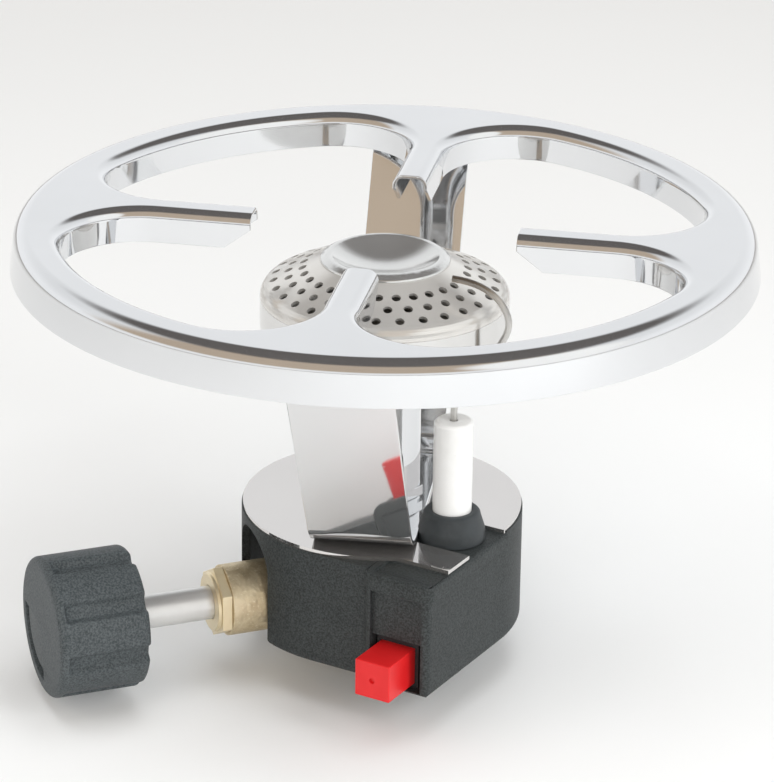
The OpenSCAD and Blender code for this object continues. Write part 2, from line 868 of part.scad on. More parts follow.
module boot_section() {
    lip = 1.5;
    top_z = housing_h + boot_h;
    foot_h = 3;
    difference() {
        union() {
            translate([0, cover_z + 1]) square([boot_neck_r, cover_h]);
            translate([0, housing_h]) square([boot_d / 2, foot_h]);
            polygon([
                [0, housing_h + foot_h], [boot_d / 2, housing_h + foot_h],
                [boot_top_r, top_z - lip], [0, top_z - lip]
            ]);
            translate([0, top_z - lip]) square([boot_top_r - lip, lip]);
            intersection() {
                translate([boot_top_r - lip, top_z - lip]) circle(lip);
                translate([0, top_z - lip]) square([far, far]);
            }
        }
        translate([0, -far]) square([boot_bore, 2 * far]);
    }
}

module rubber_boot() {
    color("#2b2c2e") difference() {
        on_electrode() rotate_extrude() boot_section();
        strap_room();
    }
}

module ceramic_insulator() {
    chamfer = 0.6;
    r = ceramic_d / 2;
    bore = wire_d / 2 + slip;
    color("white") on_electrode() rotate_extrude() polygon([
        [bore, ceramic_foot], [r - chamfer, ceramic_foot], [r, ceramic_foot + chamfer],
        [r, ceramic_top - chamfer], [r - chamfer, ceramic_top], [bore, ceramic_top]
    ]);
}

// One smooth curve through four neighbouring points
function curve(p, i, t) = 0.5 * (2 * p[i] + (p[i + 1] - p[i - 1]) * t
    + (2 * p[i - 1] - 5 * p[i] + 4 * p[i + 1] - p[i + 2]) * t * t
    + (3 * p[i] - p[i - 1] - 3 * p[i + 1] + p[i + 2]) * t * t * t);
function unit(v) = v / norm(v);

// Round tube along a list of points, as one closed skin with triangles
module swept_tube(path, r, sides) {
    n = len(path);
    tangent = [for (i = [0:n - 1]) unit(path[min(i + 1, n - 1)] - path[max(i - 1, 0)])];
    side = [for (t = tangent) unit(cross(t, abs(t[2]) < 0.95 ? [0, 0, 1] : [0, 1, 0]))];
    frames = turned(tangent, side[0], 0);
    rings = [
        for (i = [0:n - 1], k = [0:sides - 1])
            path[i] + r * (cos(360 * k / sides) * frames[i] + sin(360 * k / sides) * cross(tangent[i], frames[i]))
    ];
    skin = [
        for (i = [0:n - 2], k = [0:sides - 1], half = [0, 1])
            let (a = i * sides + k, b = i * sides + (k + 1) % sides)
            half == 0 ? [a, a + sides, b] : [b, a + sides, b + sides]
    ];
    foot = [for (k = [1:sides - 2]) [0, k, k + 1]];
    top = [for (k = [1:sides - 2]) [(n - 1) * sides, (n - 1) * sides + k + 1, (n - 1) * sides + k]];
    polyhedron(rings, concat(skin, foot, top));
}

// Side directions that follow a path without twisting
function turned(tangent, u, i) =
    let (v = unit(u - tangent[i] * (u * tangent[i])))
    i == len(tangent) - 1 ? [v] : concat([v], turned(tangent, v, i + 1));

module spark_electrode() {
    foot = concat(electrode_xy, contact_z);
    top = concat(electrode_xy, ceramic_top);
    points = concat([top], [for (s = wire_steps) top + s]);
    last = len(points) - 1;
    guide = concat([2 * points[0] - points[1]], points, [2 * points[last] - points[last - 1]]);
    bent = [for (i = [1:last], t = [0, 1 / 3, 2 / 3]) curve(guide, i, t)];
    color("#8f8f8c") swept_tube(concat([foot], bent, [points[last]]), wire_d / 2, 10);
}

module contact_strip() {
    rise = contact_z - igniter_z;
    color("#c9a24e") in_igniter_frame() {
        translate([-contact_w / 2, -crystal_d / 2, casing_back - contact_t])
            cube([contact_w, rise + crystal_d / 2, contact_t]);
        translate([-contact_w / 2, rise - contact_t, casing_back - contact_t])
            cube([contact_w, contact_t, contact_front - casing_back + contact_t]);
    }
}

module igniter_casing() {
    color("#d9d7cf") in_igniter_frame() difference() {
        bar(casing_w, casing_back, casing_front);
        bar(casing_bore, casing_step, casing_front + 1);
        rod(hammer_d + 2 * hammer_gap, casing_back - 1, casing_step + 1);
    }
}

module igniter_button() {
    dimple_d = 1.6;
    dimple_depth = 0.6;
    color("#d8232a") in_igniter_frame() difference() {
        bar(button_w, tail_a, button_reach);
        rod(return_d + 4 * slip, tail_a - 1, return_seat);
        rod(striker_d + 8 * slip, return_seat - 1, striker_seat);
        rod(dimple_d, button_reach - dimple_depth, button_reach + 1);
    }
}

function coil(d, wire, from, to, curls) = [
    for (i = [0:8 * curls])
        let (t = i / (8 * curls), r = (d - wire) / 2)
        [r * cos(45 * i), r * sin(45 * i), from + wire / 2 + (to - from - wire) * t]
];

// Free space between two neighbouring curls
function coil_gap(wire, from, to, curls) = (to - from - wire) / curls - wire;
echo(return_spring_gap = coil_gap(return_wire, casing_step, return_seat, return_curls));
echo(hammer_spring_gap = coil_gap(striker_wire, hammer_tail, striker_seat, striker_curls));

module return_spring() {
    color("#b0b0ae") in_igniter_frame()
        swept_tube(coil(return_d, return_wire, casing_step, return_seat, return_curls), return_wire / 2, 6);
}

module hammer_spring() {
    color("#b0b0ae") in_igniter_frame()
        swept_tube(coil(striker_d, striker_wire, hammer_tail, striker_seat, striker_curls), striker_wire / 2, 6);
}

module hammer() { color("#9a9a98") in_igniter_frame() rod(hammer_d, hammer_nose, hammer_tail); }

module piezo_crystal() {
    color("#8a8f86") in_igniter_frame() rod(crystal_d, casing_back, anvil_face - anvil_t);
}

module anvil() { color("#b4b4b2") in_igniter_frame() rod(hammer_d, anvil_face - anvil_t, anvil_face); }

pan_ring();
leg_strap();
top_plate();
housing();
igniter_cover();
valve_body();
inlet_gasket();
pusher_pin();
gland_nut();
gland_packing();
valve_stem();
seat_pad();
knob();
gas_jet();
lock_washer();
tube_nut();
mixing_tube();
burner_cup();
burner_cap();
burner_crown();
rubber_boot();
ceramic_insulator();
spark_electrode();
contact_strip();
igniter_casing();
igniter_button();
return_spring();
hammer();
hammer_spring();
piezo_crystal();
anvil();
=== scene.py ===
"""Portable gas burner: finishes, dressed pieces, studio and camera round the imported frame."""

import json
import math

import bpy
from mathutils import Matrix, Vector


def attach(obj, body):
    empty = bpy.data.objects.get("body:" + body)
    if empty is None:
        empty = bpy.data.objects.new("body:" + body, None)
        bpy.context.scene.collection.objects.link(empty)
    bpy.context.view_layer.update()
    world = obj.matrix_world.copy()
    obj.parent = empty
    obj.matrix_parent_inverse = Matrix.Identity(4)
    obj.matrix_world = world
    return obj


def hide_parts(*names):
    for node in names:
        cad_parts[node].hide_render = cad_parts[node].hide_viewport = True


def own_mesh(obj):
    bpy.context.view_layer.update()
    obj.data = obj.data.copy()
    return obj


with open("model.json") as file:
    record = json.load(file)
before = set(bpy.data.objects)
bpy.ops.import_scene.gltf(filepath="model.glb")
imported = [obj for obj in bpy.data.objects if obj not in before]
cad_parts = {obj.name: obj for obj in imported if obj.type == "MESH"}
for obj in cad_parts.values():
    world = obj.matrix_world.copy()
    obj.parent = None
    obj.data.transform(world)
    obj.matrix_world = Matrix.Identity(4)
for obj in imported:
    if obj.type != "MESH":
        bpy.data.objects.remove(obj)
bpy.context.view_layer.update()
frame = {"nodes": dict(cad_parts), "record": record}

MM = 0.001
NEAR = 2e-6  # points closer than this, in metres, count as one
QUARTER_TURN = math.pi / 2
VALVE_TURN = math.radians(211.5)


class Flow:
    """A value in a finish's nodes. Arithmetic on it adds Math nodes."""

    def __init__(self, finish, socket):
        self.finish = finish
        self.socket = socket

    def _math(self, operation, *terms):
        sockets = dict(enumerate(terms))
        return self.finish.add("ShaderNodeMath", {"operation": operation}, sockets)

    def __add__(self, other):
        return self._math("ADD", self, other)

    def __radd__(self, other):
        return self._math("ADD", other, self)

    def __sub__(self, other):
        return self._math("SUBTRACT", self, other)

    def __rsub__(self, other):
        return self._math("SUBTRACT", other, self)

    def __mul__(self, other):
        return self._math("MULTIPLY", self, other)

    def __rmul__(self, other):
        return self._math("MULTIPLY", other, self)


class Finish:
    """One material: a Principled shader with constants on sockets, and nodes for what varies."""

    def __init__(self, name, **constants):
        self.material = bpy.data.materials.new(name)
        self._start(self.material, "ShaderNodeBsdfPrincipled", "ShaderNodeOutputMaterial")
        for socket, value in constants.items():
            self.shader.inputs[socket.replace("_", " ")].default_value = value

    def _start(self, owner, shader, output):
        """Empties the owner's node tree and joins a shader to its output."""
        owner.use_nodes = True
        self.tree = owner.node_tree
        self.tree.nodes.clear()
        self.shader = self.tree.nodes.new(shader)
        end = self.tree.nodes.new(output)
        self.tree.links.new(self.shader.outputs[0], end.inputs[0])

    def add(self, kind, settings=None, sockets=None, out=0):
        """A node of any type: its settings first, then the values or links of its sockets."""
        node = self.tree.nodes.new(kind)
        for key, value in (settings or {}).items():
            setattr(node, key, value)
        for key, value in (sockets or {}).items():
            self._join(node.inputs[key], value)
        return Flow(self, node.outputs[out])

    def _join(self, socket, value):
        if isinstance(value, Flow):
            self.tree.links.new(value.socket, socket)
        else:
            socket.default_value = value

    def feed(self, socket, value):
        """Gives a socket of the shader a value or a link."""
        self._join(self.shader.inputs[socket], value)

    def here(self):
        """Object coordinates, so that a pattern stays on its piece."""
        return self.add("ShaderNodeTexCoord", out="Object")

    def place(self, scale, turn=(0, 0, 0)):
        """Object coordinates, stretched along the axes with a small scale and then turned."""
        sockets = {"Vector": self.here(), "Rotation": turn, "Scale": scale}
        return self.add("ShaderNodeMapping", {"vector_type": "POINT"}, sockets)

    def noise(self, size, where=None, detail=3.0, roughness=0.55):
        """Noise from 0 to 1 with patches of about that size in millimetres."""
        sockets = {"Scale": 1 / (size * MM), "Detail": detail, "Roughness": roughness}
        sockets["Vector"] = where or self.here()
        return self.add("ShaderNodeTexNoise", None, sockets)

    def grains(self, size):
        """Distance to the nearest of scattered points, about that many millimetres apart."""
        sockets = {"Scale": 1 / (size * MM), "Vector": self.here()}
        return self.add("ShaderNodeTexVoronoi", None, sockets)

    def band(self, value, low, high):
        """0 below low, 1 above high, and smooth between."""
        sockets = {"Value": value, "From Min": low, "From Max": high}
        return self.add("ShaderNodeMapRange", {"interpolation_type": "SMOOTHSTEP"}, sockets)

    def mix(self, amount, first, second):
        """A colour between two, by the Mix node's colour sockets."""
        settings = {"data_type": "RGBA", "clamp_factor": True}
        return self.add("ShaderNodeMix", settings, {0: amount, 6: first, 7: second}, out=2)

    def bump(self, height, depth, strength, under=None):
        """Relief of that depth in millimetres, on top of another relief if there is one."""
        sockets = {"Height": height, "Distance": depth * MM, "Strength": strength}
        if under:
            sockets["Normal"] = under
        return self.add("ShaderNodeBump", None, sockets)


def rgb(red, green, blue):
    """An opaque colour."""
    return (red, green, blue, 1.0)


WIPE_TURN = (0, 0, 0.6)
TOOL_TURN = (0, 0, -VALVE_TURN)
HOT_FROM, HOT_TO = 92 * MM, 104 * MM


def chrome_finish(name, dull, bright):
    """Bright plating on pressed sheet: slightly wavy, with faint wipe marks and fine specks."""
    f = Finish(name, Metallic=0.93)
    smear = f.noise(28, detail=4.0)
    wipe = f.noise(6, f.place((0.12, 1, 1), WIPE_TURN), detail=5.0)
    specks = 1 - f.band(f.grains(5.5), 0.03, 0.09)
    dulled = f.band(smear, 0.4, 0.8)
    f.feed("Roughness", 0.035 + dulled * 0.05 + wipe * 0.025 + specks * 0.12)
    f.feed("Base Color", f.mix(smear, dull, bright))
    wave = f.bump(f.noise(20, detail=1.0), 0.1, 0.3)
    f.feed("Normal", f.bump(f.noise(1.2, detail=2.0), 0.003, 0.3, wave))
    return f.material


def head_steel_finish(name, metal, dull, bright):
    """Pressed stainless steel of the burner head, drawn and lightly polished."""
    f = Finish(name, Metallic=metal)
    haze = f.noise(9, detail=4.0)
    draw = f.noise(1.5, f.place((1, 1, 0.08)), detail=5.0)
    f.feed("Roughness", 0.09 + haze * 0.08 + draw * 0.06)
    f.feed("Base Color", f.mix(haze, dull, bright))
    f.feed("Normal", f.bump(draw, 0.006, 0.4))
    return f.material


def turned_steel_finish():
    """Satin turned steel of the stem, with fine tool marks across it."""
    f = Finish("turned_steel", Metallic=0.8)
    marks = f.noise(0.5, f.place((1, 0.06, 0.06), TOOL_TURN), detail=4.0)
    haze = f.noise(7)
    f.feed("Roughness", 0.28 + marks * 0.12 + haze * 0.06)
    f.feed("Base Color", f.mix(haze, rgb(0.70, 0.70, 0.69), rgb(0.84, 0.84, 0.83)))
    f.feed("Normal", f.bump(marks, 0.006, 0.4))
    return f.material


def wire_finish():
    """Drawn heat-proof wire, a little darker towards its hot end."""
    f = Finish("electrode_wire", Metallic=1.0)
    haze = f.noise(4)
    height = f.add("ShaderNodeSeparateXYZ", None, {0: f.here()}, out=2)
    heat = f.band(height, HOT_FROM, HOT_TO)
    cold = f.mix(haze, rgb(0.52, 0.51, 0.49), rgb(0.66, 0.65, 0.63))
    f.feed("Base Color", f.mix(heat * 0.6, cold, rgb(0.42, 0.36, 0.30)))
    f.feed("Roughness", 0.24 + haze * 0.14)
    return f.material


def spring_finish():
    """Bare drawn wire of the two springs."""
    f = Finish("spring_wire", Metallic=1.0)
    haze = f.noise(2)
    f.feed("Base Color", f.mix(haze, rgb(0.50, 0.50, 0.50), rgb(0.64, 0.64, 0.63)))
    f.feed("Roughness", 0.26 + haze * 0.12)
    return f.material


def cast_brass_finish():
    """Sand-grained and dimpled brass body, paler on its high grains."""
    f = Finish("cast_brass", Metallic=0.8)
    grain = f.noise(0.7, detail=4.0)
    stain = f.noise(7, detail=3.0)
    tone = f.mix(f.band(stain, 0.35, 0.7), rgb(0.60, 0.49, 0.31), rgb(0.76, 0.65, 0.45))
    f.feed("Base Color", f.mix(f.band(grain, 0.52, 0.75) * 0.6, tone, rgb(0.92, 0.84, 0.66)))
    f.feed("Roughness", 0.34 + grain * 0.18)
    dimple = f.bump(f.noise(2.2, detail=1.0), 0.35, 0.8)
    f.feed("Normal", f.bump(grain, 0.09, 0.7, dimple))
    return f.material


def turned_brass_finish():
    """Machined brass of the nuts, brighter than the cast body, with tool marks."""
    f = Finish("turned_brass", Metallic=0.8)
    marks = f.noise(0.45, f.place((1, 0.1, 0.1), TOOL_TURN), detail=4.0)
    stain = f.noise(5)
    f.feed("Base Color", f.mix(stain, rgb(0.76, 0.63, 0.40), rgb(0.90, 0.79, 0.56)))
    f.feed("Roughness", 0.22 + marks * 0.12 + stain * 0.06)
    f.feed("Normal", f.bump(marks, 0.015, 0.5))
    return f.material


def moulded_finish(name, dark, pale, grain_size, depth):
    """Fine grain of a moulded black plastic, with paler flecks."""
    f = Finish(name, Specular_IOR_Level=0.3)
    grain = f.noise(grain_size, detail=3.0, roughness=0.6)
    cloud = f.noise(14, detail=3.0)
    fleck = f.band(f.noise(0.5, detail=2.0), 0.28, 0.72)
    f.feed("Base Color", f.mix(fleck * 0.7 + cloud * 0.3, dark, pale))
    f.feed("Roughness", 0.44 + grain * 0.16 + cloud * 0.06)
    f.feed("Normal", f.bump(grain, depth, 0.55))
    return f.material


def button_finish():
    """Semi-gloss red moulding."""
    f = Finish("red_moulding", Specular_IOR_Level=0.35, Coat_Roughness=0.25)
    cloud = f.noise(5, detail=3.0)
    grain = f.noise(0.4, detail=2.0)
    f.feed("Base Color", f.mix(cloud, rgb(0.64, 0.010, 0.012), rgb(0.76, 0.022, 0.024)))
    f.feed("Roughness", 0.27 + cloud * 0.1 + grain * 0.05)
    f.feed("Coat Weight", 0.04 + cloud * 0.1)
    f.feed("Normal", f.bump(grain, 0.012, 0.35))
    return f.material


def rubber_finish():
    """Black rubber with a faint pale bloom."""
    f = Finish("black_rubber", Specular_IOR_Level=0.4)
    bloom = f.noise(4, detail=4.0)
    grain = f.noise(0.5, detail=3.0)
    f.feed("Base Color", f.mix(bloom, rgb(0.022, 0.026, 0.028), rgb(0.055, 0.062, 0.066)))
    f.feed("Roughness", 0.42 + bloom * 0.2)
    f.feed("Normal", f.bump(grain, 0.02, 0.4))
    return f.material


def ceramic_finish():
    """Glazed white ceramic with a soft mottle and a few iron specks."""
    f = Finish("white_ceramic", Specular_IOR_Level=0.55, Coat_Roughness=0.08)
    mottle = f.noise(3, detail=3.0)
    specks = 1 - f.band(f.grains(2.4), 0.03, 0.07)
    glaze = f.mix(mottle, rgb(0.83, 0.83, 0.81), rgb(0.90, 0.90, 0.89))
    f.feed("Base Color", f.mix(specks * 0.25, glaze, rgb(0.45, 0.40, 0.34)))
    f.feed("Roughness", 0.24 + mottle * 0.14)
    f.feed("Coat Weight", 0.25 + mottle * 0.2)
    f.feed("Normal", f.bump(mottle, 0.02, 0.3))
    return f.material


def seal_finish():
    """Pale seal plastic of the packing and the seat pad."""
    f = Finish("seal_plastic", Specular_IOR_Level=0.4)
    cloud = f.noise(1.5)
    f.feed("Base Color", f.mix(cloud, rgb(0.74, 0.73, 0.68), rgb(0.86, 0.85, 0.81)))
    f.feed("Roughness", 0.42 + cloud * 0.14)
    return f.material


FINISHES = {
    "chrome": chrome_finish(
        "chrome_plating", dull=rgb(0.72, 0.73, 0.745), bright=rgb(0.79, 0.80, 0.815)
    ),
    # The strap wears the ring's chrome painted paler: painted light standing in for the bright
    # floor it mirrors, which lies in shade here.
    "strap": chrome_finish(
        "strap_plating", dull=rgb(0.84, 0.85, 0.86), bright=rgb(0.90, 0.91, 0.92)
    ),
    "plate": chrome_finish(
        "plate_plating", dull=rgb(0.70, 0.68, 0.67), bright=rgb(0.76, 0.74, 0.725)
    ),
    "head": head_steel_finish(
        "head_steel", metal=1.0, dull=rgb(0.66, 0.655, 0.645), bright=rgb(0.79, 0.785, 0.775)
    ),
    "crown": head_steel_finish(
        "crown_steel", metal=0.82, dull=rgb(0.67, 0.675, 0.67), bright=rgb(0.80, 0.805, 0.80)
    ),
    "cone": head_steel_finish(
        "cone_steel", metal=0.5, dull=rgb(0.64, 0.625, 0.60), bright=rgb(0.78, 0.765, 0.735)
    ),
    "steel": turned_steel_finish(),
    "wire": wire_finish(),
    "spring": spring_finish(),
    "cast": cast_brass_finish(),
    "brass": turned_brass_finish(),
    "housing": moulded_finish(
        "housing_moulding", dark=rgb(0.010, 0.012, 0.012), pale=rgb(0.058, 0.066, 0.067),
        grain_size=0.4, depth=0.03,
    ),
    "knob": moulded_finish(
        "knob_moulding", dark=rgb(0.024, 0.030, 0.033), pale=rgb(0.104, 0.119, 0.125),
        grain_size=0.45, depth=0.035,
    ),
    "casing": moulded_finish(
        "casing_moulding", dark=rgb(0.022, 0.022, 0.023), pale=rgb(0.034, 0.034, 0.035),
        grain_size=0.6, depth=0.02,
    ),
    "button": button_finish(),
    "rubber": rubber_finish(),
    "ceramic": ceramic_finish(),
    "seal": seal_finish(),
}

WEARS = {
    "pan_ring": "chrome", "leg_strap": "strap", "top_plate": "plate", "mixing_tube": "chrome",
    "tube_nut": "chrome", "lock_washer": "chrome",
    "housing": "housing", "igniter_cover": "housing", "knob": "knob",
    "igniter_casing": "casing", "igniter_button": "button",
    "valve_body": "cast", "gland_nut": "brass", "gas_jet": "brass", "contact_strip": "brass",
    "valve_stem": "steel", "pusher_pin": "steel", "hammer": "steel", "anvil": "steel",
    "burner_cup": "head", "burner_cap": "cone", "burner_crown": "crown",
    "rubber_boot": "rubber", "inlet_gasket": "rubber",
    "ceramic_insulator": "ceramic", "piezo_crystal": "ceramic",
    "spark_electrode": "wire", "return_spring": "spring", "hammer_spring": "spring",
    "gland_packing": "seal", "seat_pad": "seal",
}


def dress(obj, finish):
    """Gives an object one finish, in place of any other."""
    obj.data.materials.clear()
    obj.data.materials.append(FINISHES[finish])


for name, finish in WEARS.items():
    dress(frame["nodes"][name], finish)

BEHAVIOUR = frame["record"]["behaviour"]
BODY_OF = {node: body for body, nodes in BEHAVIOUR["bodies"].items() for node in nodes}


def mode(kind):
    """Goes into object or edit mode."""
    bpy.ops.object.mode_set(mode=kind)


def pick(*objs):
    """Leaves edit mode and selects these objects only, the first one active."""
    if bpy.context.mode != "OBJECT":
        mode("OBJECT")
    bpy.ops.object.select_all(action="DESELECT")
    for obj in objs:
        obj.select_set(True)
    bpy.context.view_layer.objects.active = objs[0]


def choose(obj, test):
    """Enters edit mode with just the vertices selected that pass the test."""
    pick(obj)
    mode("EDIT")
    bpy.ops.mesh.select_mode(type="VERT")
    bpy.ops.mesh.select_all(action="DESELECT")
    mode("OBJECT")
    for vertex in obj.data.vertices:
        vertex.select = test(vertex.co)
    mode("EDIT")


def anywhere(_):
    """The test that every vertex passes."""
    return True


def draw_out(x, y, z):
    """Extrudes what is selected and moves it."""
    bpy.ops.mesh.extrude_region_move(TRANSFORM_OT_translate={"value": (x, y, z)})


def swing(steps, angle, centre=(0, 0, 0)):
    """Draws what is selected round an upright axis."""
    bpy.ops.mesh.spin(steps=steps, angle=angle, center=centre, axis=(0, 0, 1))


def settle(obj):
    """Works an object's place and turn into its mesh."""
    pick(obj)
    bpy.ops.object.transform_apply(location=True, rotation=True, scale=True)


def copy_of(obj, name):
    """A second object with a mesh of its own."""
    copy = bpy.data.objects.new(name, obj.data.copy())
    bpy.context.scene.collection.objects.link(copy)
    return copy


def apply(obj, kind, **settings):
    """Adds a modifier and applies it."""
    pick(obj)
    modifier = obj.modifiers.new(kind.lower(), kind)
    for key, value in settings.items():
        setattr(modifier, key, value)
    bpy.ops.object.modifier_apply(modifier=modifier.name)


def smooth(obj, angle):
    """Shades an object smooth, apart from edges sharper than that angle in degrees."""
    pick(obj)
    bpy.ops.object.shade_smooth_by_angle(angle=math.radians(angle))


def stand_for(obj, node):
    """The piece takes the node's place, body and finish."""
    obj.name = node + "_shown"
    dress(obj, WEARS[node])
    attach(obj, BODY_OF[node])
    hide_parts(node)


RING_TOP = 112 * MM
RING_TIP = 35 * MM
FINGER_HALF = 4.75 * MM
TIP_SIDE = 4 * MM
TIP_SLOPE = 7 * MM
CORNER_X, CORNER_Y = 60 * MM, 25 * MM
WINDOW_EDGE = 3 * MM
FLANGE = 9.3 * MM
FLAT_R = 92.5 * MM
RIM_EDGE = 4 * MM
RIM_FLARE = 1 * MM
RIM_DEPTH = 11.5 * MM
SHEET = 1 * MM
SHEET_EASE = 0.22 * MM
RAY = math.atan2(CORNER_Y, CORNER_X)
EIGHTH_TURN = math.pi / 4
UPRIGHT_X = (QUARTER_TURN, 0, 0)
UPRIGHT_Y = (QUARTER_TURN, 0, QUARTER_TURN)
ROLL_POINTS = 40
ROLL_STEP = 2 * math.pi / ROLL_POINTS
CORNER_STEPS, WINDOW_STEPS, RIM_STEPS = 24, 12, 30
SHARP = math.radians(60)
CRISP = 40  # degrees


def rolled_quarter(radius, place, turn, inner, short=0):
    """A quarter of a circle of edge, from flat towards upright, stopped short by that height."""
    bpy.ops.object.select_all(action="DESELECT")
    bpy.ops.mesh.primitive_circle_add(
        vertices=ROLL_POINTS, radius=radius, location=place, rotation=turn
    )
    edge = bpy.context.object
    settle(edge)
    choose(edge, lambda p: inner(p) or p.z < place[2] + short - NEAR)
    bpy.ops.mesh.delete(type="VERT")
    choose(edge, lambda p: p.z < place[2] + short + NEAR)
    return edge


def window_side():
    """The rolled edge and flange along a finger's side, round its corner and half a window."""
    middle = FINGER_HALF - WINDOW_EDGE
    place = (RING_TIP, middle, RING_TOP - WINDOW_EDGE)
    side = rolled_quarter(WINDOW_EDGE, place, UPRIGHT_Y, lambda p: p.y < middle - NEAR)
    draw_out(0, 0, WINDOW_EDGE - TIP_SIDE)
    bpy.ops.mesh.select_all(action="SELECT")
    draw_out(TIP_SLOPE, 0, 0)
    mode("OBJECT")
    for vertex in side.data.vertices:
        if vertex.select and vertex.co.z < RING_TOP - TIP_SIDE + NEAR:
            vertex.co.z = RING_TOP - FLANGE
    mode("EDIT")
    draw_out(CORNER_X - RING_TIP - TIP_SLOPE, 0, 0)
    swing(CORNER_STEPS, -QUARTER_TURN - RAY, (CORNER_X, CORNER_Y, 0))
    swing(WINDOW_STEPS, RAY - EIGHTH_TURN)
    mode("OBJECT")
    return side


def ring_rim():
    """An eighth of the rolled outer rim with its flaring skirt."""
    place = (FLAT_R, 0, RING_TOP - RIM_EDGE)
    short = RIM_EDGE * math.sin(ROLL_STEP)
    rim = rolled_quarter(RIM_EDGE, place, UPRIGHT_X, lambda p: p.x < FLAT_R - NEAR, short)
    flare = RIM_FLARE + RIM_EDGE * (1 - math.cos(ROLL_STEP))
    draw_out(flare, 0, RIM_EDGE - RIM_DEPTH - short)
    bpy.ops.mesh.select_all(action="SELECT")
    swing(RIM_STEPS, -EIGHTH_TURN)
    mode("OBJECT")
    return rim


def flat_top(ring):
    """Closes the flat between the rolled edges of one eighth."""
    level = RING_TOP - NEAR
    choose(ring, lambda p: p.z > level and abs(p.x - p.y) < 4 * NEAR)
    bpy.ops.mesh.edge_face_add()
    choose(ring, lambda p: p.z > level and p.x < RING_TIP + NEAR)
    draw_out(0, WINDOW_EDGE - FINGER_HALF, 0)
    choose(ring, lambda p: p.z > level and abs(p.y) < NEAR)
    bpy.ops.mesh.edge_face_add()
    choose(ring, lambda p: p.z > level)
    bpy.ops.mesh.edge_face_add()
    mode("OBJECT")


def pressed_ring():
    """The pan ring: one eighth mirrored, turned three times, joined and given its thickness."""
    ring = window_side()
    pick(ring, ring_rim())
    bpy.ops.object.join()
    flat_top(ring)
    apply(ring, "MIRROR", use_axis=(False, True, False), merge_threshold=NEAR)
    quarters = [ring]
    for turn in (1, 2, 3):
        quarter = copy_of(ring, "ring_quarter")
        choose(quarter, anywhere)
        bpy.ops.transform.rotate(
            value=turn * QUARTER_TURN, orient_axis="Z", center_override=(0, 0, 0)
        )
        mode("OBJECT")
        quarters.append(quarter)
    pick(*quarters)
    bpy.ops.object.join()
    choose(ring, anywhere)
    bpy.ops.mesh.remove_doubles(threshold=3 * NEAR)
    bpy.ops.mesh.normals_make_consistent(inside=False)
    mode("OBJECT")
    apply(ring, "SOLIDIFY", thickness=SHEET, offset=-1, use_even_offset=True)
    apply(ring, "BEVEL", width=SHEET_EASE, segments=2, limit_method="ANGLE", angle_limit=SHARP)
    smooth(ring, CRISP)
    apply(ring, "WEIGHTED_NORMAL", keep_sharp=True)
    stand_for(ring, "pan_ring")


EASE_ANGLE = 30  # degrees
EASE_SEGMENTS = 3
SAME_PLANE = math.radians(0.4)
EASED = {  # widths in millimetres, 0 for edges that stay hard
    "leg_strap": 0.25, "top_plate": 0, "housing": 0, "igniter_cover": 0.4,
    "gland_nut": 0.3, "valve_body": 0.3, "valve_stem": 0, "tube_nut": 0.3,
    "ceramic_insulator": 0.25, "rubber_boot": 0.5, "mixing_tube": 0.2, "burner_cup": 0.2,
    "burner_crown": 0.2,
}


def eased(node, width, angle=EASE_ANGLE, corners=None):
    """The node's own shape, eased by a width in millimetres on sharp edges or at corners only."""
    piece = copy_of(frame["nodes"][node], node)
    pick(piece)
    bpy.ops.mesh.customdata_custom_splitnormals_clear()
    choose(piece, anywhere)
    bpy.ops.mesh.remove_doubles(threshold=NEAR)
    bpy.ops.mesh.dissolve_limited(angle_limit=SAME_PLANE)
    mode("OBJECT")
    bevel = {"width": width * MM, "segments": EASE_SEGMENTS}
    if corners:
        group = piece.vertex_groups.new(name="corners")
        chosen = [vertex.index for vertex in piece.data.vertices if corners(vertex.co)]
        group.add(chosen, 1, "REPLACE")
        apply(piece, "BEVEL", **bevel, limit_method="VGROUP", vertex_group="corners")
    elif width:
        apply(
            piece, "BEVEL", **bevel, limit_method="ANGLE", angle_limit=math.radians(angle),
            use_clamp_overlap=False, miter_outer="MITER_ARC",
        )
    smooth(piece, angle)
    apply(piece, "WEIGHTED_NORMAL", keep_sharp=True)
    stand_for(piece, node)
    return piece


PRESS = next(joint for joint in BEHAVIOUR["joints"] if joint["name"] == "button_press")
INWARD = Vector(PRESS["axis"])
STROKE = PRESS["range_m"][1]
SEAT_PLAY = 0.2 * MM
COIL_ANGLE = 80  # degrees
BUTTON_CORNER = 6 * MM
BUTTON_EASE = 0.3  # millimetres


def squeezed(node):
    """A spring behind the button, copied from its node; the share of its length left by the
    stroke is worked out but not applied to its shape.
    """
    spring = eased(node, 0, angle=COIL_ANGLE)
    reach = [vertex.co.dot(INWARD) for vertex in spring.data.vertices]
    keep = 1 - (STROKE + SEAT_PLAY) / (max(reach) - min(reach))
    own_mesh(spring)


def square_button():
    """The button with its four sides and both ends eased, and its bores and dimple left crisp."""
    places = [vertex.co for vertex in frame["nodes"]["igniter_button"].data.vertices]
    spans = [[place[axis] for place in places] for axis in range(3)]
    middle = Vector([(min(span) + max(span)) / 2 for span in spans])

    def at_corner(p):
        off = p - middle
        return (off - INWARD * off.dot(INWARD)).length > BUTTON_CORNER

    eased("igniter_button", BUTTON_EASE, corners=at_corner)


